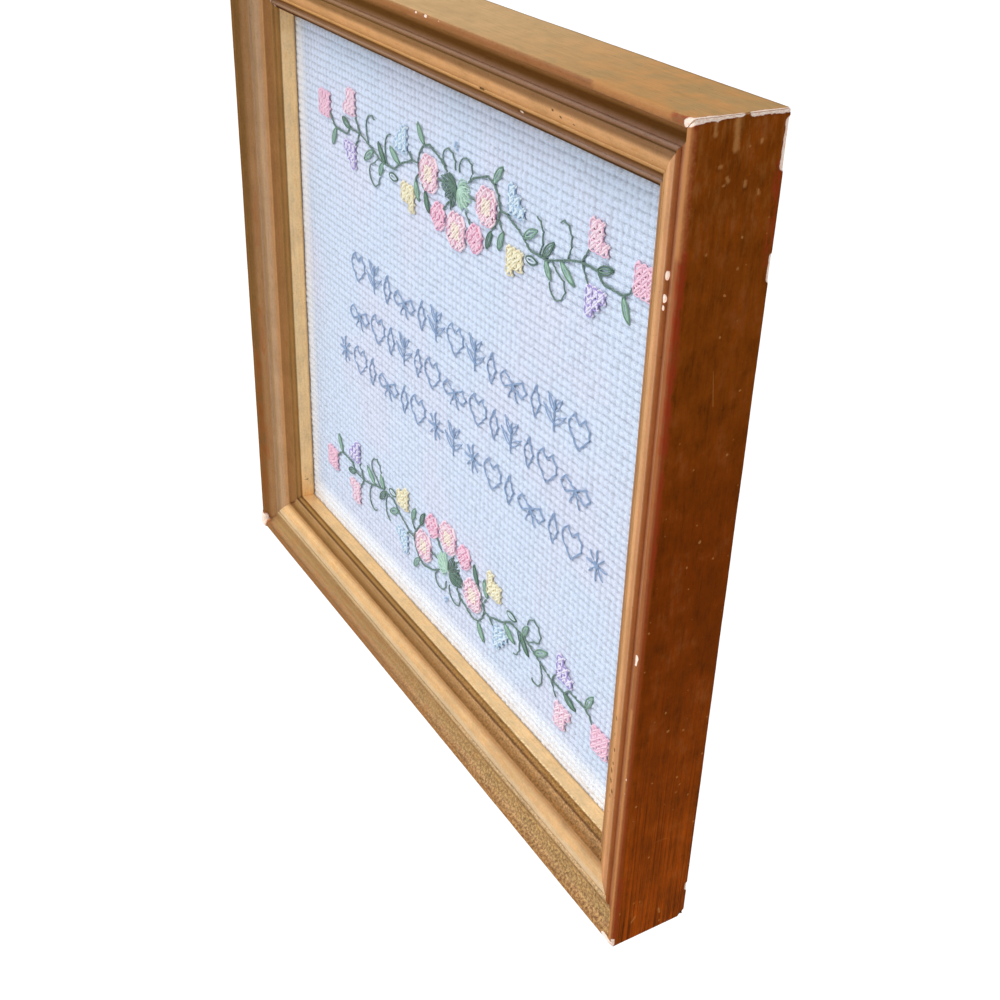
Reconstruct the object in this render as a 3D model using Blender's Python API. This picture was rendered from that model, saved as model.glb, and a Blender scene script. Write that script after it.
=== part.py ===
# Framed cross-stitch sampler: a flat embroidered cloth held in a mitred gilt moulding.
# Metres, +Z up, the front faces -Y. The origin is the middle of the top rail's back face,
# by which the frame hangs.

from collections import namedtuple
from math import asin, cos, hypot, pi, sin, sqrt

import bmesh
import bpy
from mathutils import Matrix, Vector

MM = 0.001

# Outside of the frame
FRAME_WIDTH = 191 * MM
FRAME_HEIGHT = 169 * MM
FRAME_DEPTH = 18.4 * MM

# Clearance between pieces that touch
GAP = 0.3 * MM

# Moulding: outer side to sight edge, and the rebate cut out of its back
RAIL_WIDTH = 14.6 * MM
SHOULDER_DEPTH = 11.0 * MM
REBATE_WIDTH = 3.4 * MM

# What the rebate holds
CLOTH_THICKNESS = 1.2 * MM
BOARD_THICKNESS = 2.5 * MM

# Front of the moulding, from the outer side to the sight edge, in millimetres. Each row is
# a point and the arc that leads on from it to the next row: inward from the outer side,
# depth behind the front plane, the arc's rise (above 0 proud, below 0 hollow, 0 straight)
# and the arc's steps.
FrontPoint = namedtuple("FrontPoint", "inward depth rise steps")
FRONT_PROFILE = [
    FrontPoint(0.00, 1.00, 0.30, 4),    # rounded outer arris
    FrontPoint(1.00, 0.00, 0.06, 2),    # crest of the moulding
    FrontPoint(1.50, 0.22, -0.50, 8),   # wide cove
    FrontPoint(5.15, 2.70, 0.42, 6),    # bead at the foot of the cove
    FrontPoint(6.30, 2.80, -0.10, 2),   # quirk
    FrontPoint(6.60, 2.62, 0.28, 6),    # broad band, slightly crowned
    FrontPoint(10.70, 4.10, 0.00, 1),   # incised line
    FrontPoint(10.86, 4.36, 0.00, 1),
    FrontPoint(11.02, 4.16, 0.05, 2),   # narrow fillet
    FrontPoint(11.60, 4.40, -0.30, 5),  # groove
    FrontPoint(12.60, 5.72, 0.34, 5),   # small bead
    FrontPoint(13.50, 5.90, -0.16, 3),  # hollow in front of the lip
    FrontPoint(14.10, 6.55, 0.10, 3),   # rounded sight lip
    FrontPoint(RAIL_WIDTH / MM, 6.95, 0.00, 1),
]

# Points closer than this are one point, and edges bent by more than this angle are sharp
MERGE_DISTANCE = 0.001 * MM
SHARP_ANGLE = pi / 6

COLLECTION = "framed_cross_stitch_sampler"
GILT = ("gilt_wood", (0.42, 0.22, 0.07), 0.38, 0.55)
CLOTH = ("block_weave_cloth", (0.80, 0.83, 0.90), 0.95, 0.0)
BOARD = ("back_board", (0.32, 0.22, 0.14), 0.85, 0.0)


def clear_scene():
    for old in list(bpy.data.objects):
        bpy.data.objects.remove(old, do_unlink=True)


def new_collection(name):
    collection = bpy.data.collections.new(name)
    bpy.context.scene.collection.children.link(collection)
    return collection


def new_material(name, colour, roughness, metallic):
    material = bpy.data.materials.new(name)
    material.use_nodes = True
    shader = material.node_tree.nodes["Principled BSDF"]
    shader.inputs["Base Color"].default_value = (*colour, 1.0)
    shader.inputs["Roughness"].default_value = roughness
    shader.inputs["Metallic"].default_value = metallic
    material.diffuse_color = (*colour, 1.0)
    return material


def arc_points(start, end, rise, steps):
    """Points from start up to, but not including, end on an arc that stands proud by rise."""
    if rise == 0:
        return [start]
    chord = hypot(end[0] - start[0], end[1] - start[1])
    radius = (chord * chord / 4 + rise * rise) / (2 * abs(rise))
    half_angle = asin(chord / (2 * radius))
    along = ((end[0] - start[0]) / chord, (end[1] - start[1]) / chord)
    proud = (along[1], -along[0])
    side = 1 if rise > 0 else -1
    points = []
    for step in range(steps):
        angle = half_angle * (2 * step / steps - 1)
        across = radius * sin(angle) + chord / 2
        above = side * radius * (cos(angle) - cos(half_angle))
        points.append((
            start[0] + along[0] * across + proud[0] * above,
            start[1] + along[1] * across + proud[1] * above,
        ))
    return points


def moulding_outline():
    """Closed outline of the moulding as (inward, depth) points, in metres."""
    front = []
    for this, following in zip(FRONT_PROFILE, FRONT_PROFILE[1:]):
        start = (this.inward, this.depth)
        end = (following.inward, following.depth)
        front += arc_points(start, end, this.rise, this.steps)
    sight_lip = FRONT_PROFILE[-1]
    front.append((sight_lip.inward, sight_lip.depth))
    rebate_wall = RAIL_WIDTH - REBATE_WIDTH
    back = [
        (RAIL_WIDTH, SHOULDER_DEPTH),
        (rebate_wall, SHOULDER_DEPTH),
        (rebate_wall, FRAME_DEPTH),
        (0.0, FRAME_DEPTH),
    ]
    return [(inward * MM, depth * MM) for inward, depth in front] + back


def extruded_moulding(length):
    """Mesh of a straight length of moulding along X: inward is +Z and depth is +Y."""
    curve = bpy.data.curves.new("moulding_outline", "CURVE")
    curve.dimensions = "2D"
    curve.fill_mode = "BOTH"
    curve.extrude = length / 2
    outline = moulding_outline()
    spline = curve.splines.new("POLY")
    spline.points.add(len(outline) - 1)
    for point, (inward, depth) in zip(spline.points, outline):
        point.co = (depth, inward, 0.0, 1.0)
    spline.use_cyclic_u = True
    drawn = bpy.data.objects.new("moulding_outline", curve)
    bpy.context.scene.collection.objects.link(drawn)
    evaluated = drawn.evaluated_get(bpy.context.evaluated_depsgraph_get())
    mesh = bpy.data.meshes.new_from_object(evaluated)
    bpy.data.objects.remove(drawn, do_unlink=True)
    bpy.data.curves.remove(curve)
    # The outline's X is depth, its Y is inward, and it is extruded along its Z
    lay_down = Matrix(((0, 0, 1), (1, 0, 0), (0, 1, 0)))
    mesh.transform(lay_down.to_4x4())
    return mesh


def mitred_rail(name, length, material, collection):
    """A rail whose outer edge is length long, with both ends cut at 45 degrees."""
    mesh = extruded_moulding(length + RAIL_WIDTH)
    mesh.name = name
    work = bmesh.new()
    work.from_mesh(mesh)
    bmesh.ops.remove_doubles(work, verts=work.verts, dist=MERGE_DISTANCE)
    mitre_reach = length / 2 - GAP / sqrt(2)
    for side in (-1, 1):
        cut = bmesh.ops.bisect_plane(
            work,
            geom=work.verts[:] + work.edges[:] + work.faces[:],
            plane_co=Vector((side * mitre_reach, 0, 0)),
            plane_no=Vector((side, 0, 1)).normalized(),
            clear_outer=True,
        )
        rim = [edge for edge in cut["geom_cut"] if isinstance(edge, bmesh.types.BMEdge)]
        bmesh.ops.triangle_fill(work, use_beauty=True, use_dissolve=False, edges=rim)
    bmesh.ops.remove_doubles(work, verts=work.verts, dist=MERGE_DISTANCE)
    bmesh.ops.recalc_face_normals(work, faces=work.faces)
    work.to_mesh(mesh)
    work.free()
    mesh.shade_smooth()
    mesh.set_sharp_from_angle(angle=SHARP_ANGLE)
    mesh.materials.clear()
    mesh.materials.append(material)
    rail = bpy.data.objects.new(name, mesh)
    collection.objects.link(rail)
    return rail


def flat_panel(name, width, height, thickness, material, collection):
    """A flat rectangular piece that stands in the XZ plane, centred on its own origin."""
    bpy.ops.mesh.primitive_cube_add(size=1.0)
    panel = bpy.context.active_object
    panel.name = name
    panel.data.name = name
    panel.data.transform(Matrix.Diagonal((width, thickness, height, 1.0)))
    panel.data.materials.append(material)
    for owner in list(panel.users_collection):
        owner.objects.unlink(panel)
    collection.objects.link(panel)
    return panel


def build():
    clear_scene()
    parts = new_collection(COLLECTION)
    gilt = new_material(*GILT)
    cloth_finish = new_material(*CLOTH)
    board_finish = new_material(*BOARD)

    origin = bpy.data.objects.new("hanging_point", None)
    parts.objects.link(origin)

    # The origin is half the back face's width below the top of the frame
    back_face_width = RAIL_WIDTH - REBATE_WIDTH
    centre_height = back_face_width / 2 - FRAME_HEIGHT / 2
    front_plane = -FRAME_DEPTH

    # Each rail is made as a bottom rail and turned about the frame's centre
    rails = (
        ("rail_bottom", FRAME_WIDTH, FRAME_HEIGHT, 0.0),
        ("rail_right", FRAME_HEIGHT, FRAME_WIDTH, -pi / 2),
        ("rail_top", FRAME_WIDTH, FRAME_HEIGHT, pi),
        ("rail_left", FRAME_HEIGHT, FRAME_WIDTH, pi / 2),
    )
    for name, length, span, turn in rails:
        rail = mitred_rail(name, length, gilt, parts)
        from_centre = Matrix.Rotation(turn, 3, "Y") @ Vector((0, 0, -span / 2))
        rail.rotation_euler = (0, turn, 0)
        rail.location = Vector((0, front_plane, centre_height)) + from_centre
        rail.parent = origin

    # Cloth and board fill the rebate, a gap clear of it and of each other
    panel_inset = back_face_width + GAP
    panel_width = FRAME_WIDTH - 2 * panel_inset
    panel_height = FRAME_HEIGHT - 2 * panel_inset
    cloth_front = front_plane + SHOULDER_DEPTH + GAP
    board_front = cloth_front + CLOTH_THICKNESS + GAP
    panels = (
        ("embroidered_cloth", cloth_front, CLOTH_THICKNESS, cloth_finish),
        ("back_board", board_front, BOARD_THICKNESS, board_finish),
    )
    for name, front, thickness, finish in panels:
        panel = flat_panel(name, panel_width, panel_height, thickness, finish, parts)
        panel.location = (0, front + thickness / 2, centre_height)
        panel.parent = origin


build()
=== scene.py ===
# Cross-stitch sampler in a gilt frame: gilding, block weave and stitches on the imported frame.
# Metres, +Z up. The front faces -Y.

import random
from math import atan, ceil, cos, pi, radians, sin

import bmesh
import bpy
from mathutils import Color, Euler, Matrix, Vector, kdtree, noise


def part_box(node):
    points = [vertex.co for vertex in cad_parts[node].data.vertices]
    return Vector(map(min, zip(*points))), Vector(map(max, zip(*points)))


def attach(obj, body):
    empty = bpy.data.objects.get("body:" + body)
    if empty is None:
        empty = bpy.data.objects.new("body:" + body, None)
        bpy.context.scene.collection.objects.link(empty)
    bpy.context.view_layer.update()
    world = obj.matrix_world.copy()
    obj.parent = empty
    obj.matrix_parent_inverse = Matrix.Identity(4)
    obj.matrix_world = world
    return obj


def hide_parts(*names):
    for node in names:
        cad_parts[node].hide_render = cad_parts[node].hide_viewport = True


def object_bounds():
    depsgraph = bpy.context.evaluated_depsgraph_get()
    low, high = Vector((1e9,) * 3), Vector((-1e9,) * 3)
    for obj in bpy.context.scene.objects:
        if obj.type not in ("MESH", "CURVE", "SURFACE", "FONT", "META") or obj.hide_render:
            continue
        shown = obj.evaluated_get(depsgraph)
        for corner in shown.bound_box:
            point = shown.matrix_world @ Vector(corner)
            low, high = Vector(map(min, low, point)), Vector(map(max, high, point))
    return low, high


mm = 0.001

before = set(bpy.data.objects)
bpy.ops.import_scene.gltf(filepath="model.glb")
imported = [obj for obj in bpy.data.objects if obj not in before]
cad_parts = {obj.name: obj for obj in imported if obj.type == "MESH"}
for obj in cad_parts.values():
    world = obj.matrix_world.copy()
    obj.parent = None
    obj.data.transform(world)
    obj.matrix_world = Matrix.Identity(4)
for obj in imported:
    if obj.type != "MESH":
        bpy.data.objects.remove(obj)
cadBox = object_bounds()
scene = bpy.context.scene
frameLow, frameHigh = cadBox
middle = (frameLow + frameHigh) / 2
frontY = frameLow.y
clothLow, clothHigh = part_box("embroidered_cloth")
print("frame loaded:", sorted(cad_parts))


# Shader maths

def srgb(red, green, blue):
    # a screen colour, 0 to 255, as the linear colour that a shader takes
    return (*Color((red / 255, green / 255, blue / 255)).from_srgb_to_scene_linear(), 1.0)


class Flow:
    # One socket of a material's node tree. Arithmetic on it adds Math nodes.

    def __init__(self, tree, socket=None):
        self.tree = tree
        self.socket = socket

    def add(self, kind, settings, sockets, output=0):
        node = self.tree.nodes.new("ShaderNode" + kind)
        for name, value in settings.items():
            setattr(node, name, value)
        for name, value in sockets.items():
            if isinstance(value, Flow):
                self.tree.links.new(value.socket, node.inputs[name])
            else:
                node.inputs[name].default_value = value
        return Flow(self.tree, node.outputs[output])

    def calc(self, operation, *values):
        return self.add("Math", {"operation": operation}, dict(enumerate(values)))

    def __add__(self, other):
        return self.calc("ADD", self, other)

    def __sub__(self, other):
        return self.calc("SUBTRACT", self, other)

    def __rsub__(self, other):
        return self.calc("SUBTRACT", other, self)

    def __mul__(self, other):
        return self.calc("MULTIPLY", self, other)

    __radd__ = __add__
    __rmul__ = __mul__

    def larger(self, other):
        return self.calc("MAXIMUM", self, other)

    def vector(self, operation, sockets, output=0):
        return self.add("VectorMath", {"operation": operation}, sockets, output)

    def times(self, tone):
        # by a number, or by one for each channel
        return self.vector("MULTIPLY", {0: self, 1: tone})

    def bump(self, strength, distance):
        sockets = {"Strength": strength, "Distance": distance * mm, "Height": self}
        return self.add("Bump", {}, sockets)

    def coords(self):
        return self.add("TexCoord", {}, {}, "Object")

    def attribute(self, name, output="Fac"):
        return self.add("Attribute", {"attribute_name": name}, {}, output)

    def fade(self, low, high):
        # 0 below low, 1 above high, smooth between
        limits = {"Value": self, "From Min": low, "From Max": high}
        return self.add("MapRange", {"interpolation_type": "SMOOTHSTEP"}, limits)

    def blend(self, first, second):
        # a colour between two, this socket being the share of the second
        return self.add("Mix", {"data_type": "RGBA"}, {0: self, 6: first, 7: second}, 2)

    def noise(self, scale, detail=3.0, roughness=0.5):
        sockets = {"Vector": self, "Scale": scale, "Detail": detail, "Roughness": roughness}
        return self.add("TexNoise", {}, sockets)

    def stretch(self, *scale):
        return self.add("Mapping", {}, {"Vector": self, "Scale": scale})

    def part(self, axis):
        return self.add("SeparateXYZ", {}, {"Vector": self}, axis)

    def drive(self, varying):
        shader = self.tree.nodes["Principled BSDF"]
        for socket, source in varying.items():
            self.tree.links.new(source.socket, shader.inputs[socket])


def newMaterial(name, constants):
    material = bpy.data.materials.new(name)
    material.use_nodes = True
    shader = material.node_tree.nodes["Principled BSDF"]
    for socket, value in constants.items():
        shader.inputs[socket].default_value = value
    return material, Flow(material.node_tree)


def closeHoles(work):
    rims = [edge for edge in work.edges if edge.is_boundary]
    bmesh.ops.holes_fill(work, edges=rims, sides=0)
    bmesh.ops.recalc_face_normals(work, faces=work.faces)


def finishPiece(name, work, material, replaced=(), sharp=None):
    # sharp: the bend, in degrees, above which an edge is sharp
    mesh = bpy.data.meshes.new(name)
    work.to_mesh(mesh)
    work.free()
    mesh.shade_smooth()
    if sharp:
        mesh.set_sharp_from_angle(angle=radians(sharp))
    mesh.materials.append(material)
    print("  ", name, len(mesh.polygons), "faces")
    piece = bpy.data.objects.new(name, mesh)
    scene.collection.objects.link(piece)
    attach(piece, "root")
    if replaced:
        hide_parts(*replaced)
    return piece


# Camera and studio

studio = {
    "cameraAt": (0.25284, -0.14368, 0.05592),
    "cameraTurn": (60.1128, -1.7383, 59.8855),
    "lens": 49.42,
    "floorDrop": 0.70,
    "floorSize": 12.0,
    "floorColour": srgb(250, 250, 250),
    "floorGlow": 0.24,
    "skyColour": (0.72, 0.86, 1.0, 1.0),
    "skyStrength": 0.30,
    # where each lamp shines from, its strength, its spread in degrees and its colour
    "lamps": {
        "key": ((0.08, -0.56, 0.82), 2.4, 40, (1.0, 0.93, 0.85)),
        "fill": ((-0.86, -0.46, 0.22), 1.3, 45, (0.66, 0.84, 1.0)),
    },
}


def setCamera():
    camera = bpy.data.objects.new("camera", bpy.data.cameras.new("camera"))
    scene.collection.objects.link(camera)
    camera.location = studio["cameraAt"]
    camera.rotation_euler = Euler([radians(turn) for turn in studio["cameraTurn"]])
    camera.data.lens = studio["lens"]
    camera.data.clip_start = 0.01
    scene.camera = camera


def setStudio():
    bpy.ops.mesh.primitive_plane_add(size=studio["floorSize"])
    floor = bpy.context.active_object
    floor.name = "floor"
    floor.location = (0, 0, frameLow.z - studio["floorDrop"])
    constants = {
        "Base Color": studio["floorColour"],
        "Roughness": 0.9,
        "Emission Color": studio["floorColour"],
        "Emission Strength": studio["floorGlow"],
    }
    floor.data.materials.append(newMaterial("floor_paper", constants)[0])

    world = bpy.data.worlds.new("studio")
    world.use_nodes = True
    background = world.node_tree.nodes["Background"]
    background.inputs["Color"].default_value = studio["skyColour"]
    background.inputs["Strength"].default_value = studio["skyStrength"]
    scene.world = world

    for name, (shinesFrom, strength, spread, colour) in studio["lamps"].items():
        sun = bpy.data.lights.new(name, "SUN")
        sun.energy = strength
        sun.angle = radians(spread)
        sun.color = colour
        lamp = bpy.data.objects.new(name, sun)
        lamp.rotation_euler = Vector(shinesFrom).to_track_quat("Z", "Y").to_euler()
        scene.collection.objects.link(lamp)
    scene.view_settings.view_transform = "Standard"


setCamera()
setStudio()
print("camera, floor and light set")


# Moulding

moulding = {
    "mitreGap": 0.03,
    "cuts": 340,                  # of the mesh along a rail
    "patternShift": 0.5,          # metres from one rail's pattern to the next
    "sharp": 38,                  # degrees
    "uneven": ((60, 0.05), (420, 0.018)),    # scale of the noise and its height
    "raggedChip": 0.35,           # the rim of a chip, and of other wear
    "ragged": 0.2,
    # millimetres round the section from its back outer corner
    "sideReach": 17.7,
    "footReach": (24.3, 25.1),    # the foot of the cove
    "bandReach": (26.3, 31.7),
    "lipReach": 36.9,
    # millimetres right of or above the middle, where the tone changes
    "rightward": (10, 85),
    "speckled": (-45, 75),
    "lowDown": (-89, -1),
    "nearTop": (46, 84),
    "redder": (0, 50),
    # inward, depth, rise of the arc that leads on, its steps, its finish; all in millimetres
    "outline": (
        (0.00, 18.40, 0.00, 30, "side"),
        (-0.20, 0.55, 0.04, 3, "edge"),
        (-0.06, 0.15, 0.04, 3, "arris"),
        (0.40, 0.00, 0.05, 4, "crest"),
        (1.50, 0.22, -0.26, 8, "cove"),
        (3.05, 1.87, -0.20, 7, "coveFoot"),
        (5.45, 2.74, 0.40, 10, "bead"),
        (6.65, 2.84, -0.04, 3, "quirk"),
        (6.95, 2.72, 0.05, 5, "bandEdge"),
        (8.75, 3.10, 0.08, 7, "band"),
        (10.70, 4.10, 0.00, 2, "line"),
        (10.86, 4.22, 0.00, 2, "line"),
        (11.02, 4.17, 0.04, 3, "fillet"),
        (11.60, 4.40, -0.30, 7, "groove"),
        (13.15, 5.78, 0.28, 8, "smallBead"),
        (14.05, 6.00, -0.06, 3, "hollow"),
        (14.35, 6.40, 0.10, 4, "lip"),
        (14.85, 6.90, 0.00, 2, "lip"),
        (14.85, 7.50, 0.00, 7, "wall"),
        (14.60, 11.28, 0.00, 3, "wood"),
        (11.20, 11.28, 0.00, 6, "wood"),
        (11.20, 18.40, 0.00, 8, "wood"),
        (0.12, 18.40, 0.00, 1, "wood"),
        (0.00, 18.40, 0.00, 0, "side"),
    ),
    # exposure to rubbing, then the colour on all rails, or on the bottom, right, top and left;
    # where the colour differs from rail to rail it paints that rail's light and shade: the top
    # rail's cove foot, quirk, band edge, hollow and lip darker as painted shade, its edge and
    # arris lighter as a painted highlight, the bottom rail's bead and band edge lighter as painted
    # light, the left band darker as painted shade and the left wall lighter as painted light
    "finishesAndPaintedLight": {
        # the sides' dark copper is partly their own colour and partly painted shade
        "side": (0.30, (118, 56, 9)),
        "edge": (0.60, (96, 57, 28), (140, 62, 30), (160, 100, 66), (78, 44, 20)),
        "arris": (0.70, (84, 50, 22), (146, 83, 49), (150, 100, 69), (76, 42, 20)),
        "crest": (0.50, (152, 106, 70), (165, 102, 70), (156, 104, 72), (122, 80, 44)),
        "cove": (0.15, (162, 119, 81), (150, 105, 69), (147, 103, 72), (138, 99, 57)),
        "coveFoot": (0.15, (165, 126, 84), (190, 136, 110), (80, 46, 20), (164, 122, 82)),
        "bead": (0.30, (186, 154, 114), (152, 88, 50), (138, 102, 84), (166, 128, 94)),
        "quirk": (0.05, (186, 150, 112), (158, 108, 76), (92, 60, 38), (176, 142, 112)),
        "bandEdge": (0.30, (221, 192, 155), (196, 142, 105), (140, 102, 74), (163, 130, 98)),
        "band": (0.20, (228, 182, 130), (222, 170, 126), (211, 162, 117), (188, 151, 118)),
        "line": (0.00, (192, 142, 96), (192, 142, 96), (196, 146, 100), (192, 142, 96)),
        "fillet": (0.20, (190, 142, 96)),
        "groove": (0.05, (140, 97, 57), (130, 86, 50), (106, 68, 42), (160, 112, 68)),
        "smallBead": (0.25, (185, 142, 97), (176, 130, 94), (148, 113, 95), (163, 119, 73)),
        "hollow": (0.10, (118, 80, 50), (118, 80, 50), (80, 52, 38), (150, 108, 62)),
        "lip": (0.20, (154, 111, 64), (132, 90, 55), (62, 39, 33), (162, 118, 68)),
        "wall": (0.05, (245, 212, 162), (245, 212, 162), (245, 212, 162), (255, 218, 162)),
        "wood": (0.00, (196, 160, 118)),
    },
    # colours of what lies on the gilding or shows through it
    "palette": {
        "run": (150, 98, 48), "haze": (134, 84, 54), "rust": (172, 100, 58),
        # the dust colours also paint the top face lighter, as lit from above
        "fleck": (218, 186, 118), "dirt": (92, 60, 30), "dustAndTopLight": (213, 158, 101),
        "brownDustAndTopLight": (200, 160, 108), "paleDustAndTopLight": (224, 184, 134), "blush": (158, 84, 44),
        "clay": (148, 48, 20), "pit": (62, 34, 14), "scuffAndHighlight": (200, 142, 84),
        "gesso": (252, 234, 220), "gessoShade": (240, 200, 174),
    },
    # shares of the red, green and blue that are left
    "tarnished": (0.78, 0.70, 0.56),
    "reddened": (0.84, 0.66, 0.37),
    "inGrain": (0.42, 0.30, 0.24),
}

# Wear on the frame by what shows there: one place or two ends, each right of the frame's middle,
# behind its front and above its middle; then its reach and how deep it is sunk; in millimetres
wear = {
    # chips down to the white gesso
    "gesso": (
        ((93.9, 0.0, 83.7), (95.4, 0.3, 84.4), 0.62, 0.10),
        ((95.5, 0.3, 84.4), (95.5, 4.4, 84.5), 0.58, 0.08),
        ((95.5, 4.4, 84.4), (95.5, 9.2, 84.5), 0.36, 0.06),
        ((95.5, 11.2, 84.5), (95.5, 18.2, 84.5), 0.60, 0.10),
        ((95.5, 18.4, 82.6), (95.5, 18.4, 75.6), 0.64, 0.14),
        ((95.5, 18.4, -75.7), (95.5, 18.4, -77.0), 0.45, 0.15),
        ((95.2, 0.2, -84.0), (92.4, 0.0, -83.9), 0.56, 0.12),
        ((95.4, 0.4, -84.3), (95.4, 0.4, -82.9), 0.40, 0.12),
        ((89.7, 2.4, 58.8), (89.7, 2.4, 58.3), 0.48, 0.12),
        ((89.6, 2.3, 54.9), (89.6, 2.3, 54.4), 0.48, 0.12),
        ((89.5, 2.3, 53.1), (89.5, 2.3, 52.9), 0.36, 0.10),
        ((95.1, 0.2, -40.0), (95.1, 0.2, -40.2), 0.24, 0.08),
        ((95.1, 0.2, -43.6), (95.1, 0.2, -43.7), 0.20, 0.08),
        ((94.6, 0.1, -12.0), (94.3, 0.1, -13.4), 0.50, 0.12),
        ((-94.9, 0.6, -83.9), (-94.4, 0.0, -82.3), 1.65, -0.55),
        ((-83.6, 4.6, 72.6), (-80.9, 6.8, 69.9), 0.26, 0.04),
        ((7.4, 0.2, 84.2), (7.7, 0.2, 84.2), 0.30, 0.10),
        ((11.2, 0.2, 84.2), (11.8, 0.2, 84.2), 0.34, 0.10),
        ((16.6, 0.3, 84.2), (17.0, 0.3, 84.2), 0.30, 0.10),
        ((38.8, 5.7, 72.1), (39.3, 5.7, 72.1), 0.28, 0.10),
        ((95.5, 18.4, 61.2), (95.5, 18.4, 57.2), 0.46, 0.10),
    ),
    # red clay where an edge is rubbed through
    "clay": (
        ((90.6, 0.3, 84.1), (94.0, 0.3, 84.1), 0.50, 0.02),
        ((95.4, 0.7, 64.0), (95.4, 0.7, 30.0), 0.62, 0.02),
        ((95.4, 0.8, 26.0), (95.4, 0.8, 6.0), 0.45, 0.02),
        ((95.5, 17.4, 76.0), (95.5, 17.6, 60.0), 0.55, 0.02),
        ((95.3, 0.8, -66.0), (95.3, 0.8, -82.0), 0.45, 0.02),
    ),
    # a blush of the clay
    "blush": (
        ((-92.9, 1.5, -50.0), (-93.0, 1.4, -60.0), 1.10, 0.02),
        ((-93.8, 0.6, -26.0), (-93.8, 0.6, -81.0), 1.10, 0.02),
        ((-91.9, 1.9, 20.0), (-91.9, 1.9, 6.0), 0.60, 0.02),
        ((-92.3, 1.8, -14.0), (-92.3, 1.8, -26.0), 0.80, 0.02),
        ((94.0, 0.2, 44.0), (94.0, 0.2, 0.0), 0.90, 0.02),
        ((94.0, 0.2, -50.0), (94.0, 0.2, -80.0), 0.90, 0.02),
    ),
    # pale scuffs, runs and specks; the first three are painted highlights along the crests of the
    # top and right rails
    "scuffAndHighlight": (
        ((70.0, 0.3, 84.2), (89.5, 0.3, 84.2), 0.95, 0.02),
        ((94.5, 0.1, 82.5), (94.5, 0.1, 64.0), 1.00, 0.02),
        ((94.7, 0.1, -24.0), (94.7, 0.1, -83.0), 0.42, 0.00),
        ((95.5, 4.1, 84.2), (95.5, 4.3, 82.1), 0.34, 0.03),
        ((95.5, 8.3, 83.8), (95.5, 8.5, 79.4), 0.55, 0.01),
        ((95.5, 4.3, 82.2), (95.5, 4.3, 81.9), 0.40, 0.03),
        ((95.5, 5.7, 77.0), (95.5, 6.0, 77.0), 0.30, 0.03),
        ((95.5, 7.4, 75.1), (95.5, 7.7, 74.6), 0.32, 0.03),
        ((95.5, 6.7, 74.0), (95.5, 7.1, 74.0), 0.20, 0.03),
        ((95.5, 11.1, 74.1), (95.5, 11.1, 73.4), 0.30, 0.06),
        ((95.5, 13.9, 72.5), (95.5, 14.0, 71.9), 0.22, 0.03),
        ((95.5, 13.4, 80.3), (95.5, 13.4, 79.9), 0.26, 0.03),
        ((95.5, 11.2, 79.5), (95.5, 11.3, 79.5), 0.20, 0.03),
        ((95.5, 5.0, 63.5), (95.5, 5.0, 63.4), 0.24, 0.03),
        ((95.5, 11.7, 60.2), (95.5, 11.7, 60.1), 0.24, 0.03),
        ((95.5, 14.2, 5.7), (95.5, 14.2, 5.6), 0.20, 0.03),
        ((95.5, 12.2, -32.5), 0.26, 0.05),
        ((95.5, 12.3, -48.1), 0.20, 0.03),
        ((93.6, 0.1, -61.2), (93.6, 0.1, -61.8), 0.26, 0.08),
        ((95.5, 4.6, -79.9), (95.5, 5.5, -78.6), 0.24, 0.03),
        ((95.5, 11.5, -79.4), (95.5, 11.8, -80.6), 0.22, 0.03),
    ),
    # dark pits
    "pit": (
        ((86.1, 3.4, -33.1), 0.36, 0.15),
        ((85.8, 3.5, -37.2), 0.28, 0.12),
        ((86.6, 3.2, -40.4), 0.32, 0.12),
        ((86.5, 3.2, -43.9), 0.30, 0.12),
        ((86.0, 3.4, -46.1), 0.48, 0.18),
        ((86.1, 3.4, -48.5), (86.0, 3.4, -48.7), 0.44, 0.20),
        ((87.2, 3.0, -50.5), 0.34, 0.15),
        ((86.4, 3.3, -52.4), 0.30, 0.12),
        ((85.9, 3.5, -57.0), 0.20, 0.12),
        ((37.6, 5.9, 72.0), (38.0, 5.9, 72.0), 0.26, 0.15),
        ((55.1, 3.4, 75.1), (55.3, 3.4, 75.1), 0.20, 0.12),
        ((52.9, 3.1, 75.8), (53.1, 3.1, 75.8), 0.18, 0.12),
        ((59.2, 3.6, 74.8), (59.3, 3.6, 74.8), 0.16, 0.12),
        ((26.0, 4.3, 73.6), (27.2, 4.3, 73.6), 0.22, 0.15),
        ((-80.9, 6.9, -64.1), (-80.9, 9.4, -64.3), 0.16, 0.10),
    ),
    # dents that keep their gilding
    "dent": (
        ((95.5, 18.4, -84.5), 1.20, 0.40),
    ),
}
# Hair scratches, end to end
scratches = (
    ((95.5, 4.6, -59.3), (95.5, 11.3, -59.7)),
    ((95.5, 5.2, -79.0), (95.5, 7.4, -77.9)),
    ((95.5, 9.2, 43.0), (95.5, 10.0, 36.5)),
    ((52.0, -0.1, 74.2), (67.0, 6.6, 74.6)),
)


def onFrame(x, depth, z):
    return Vector((middle.x + x * mm, frontY + depth * mm, middle.z + z * mm))


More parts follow.
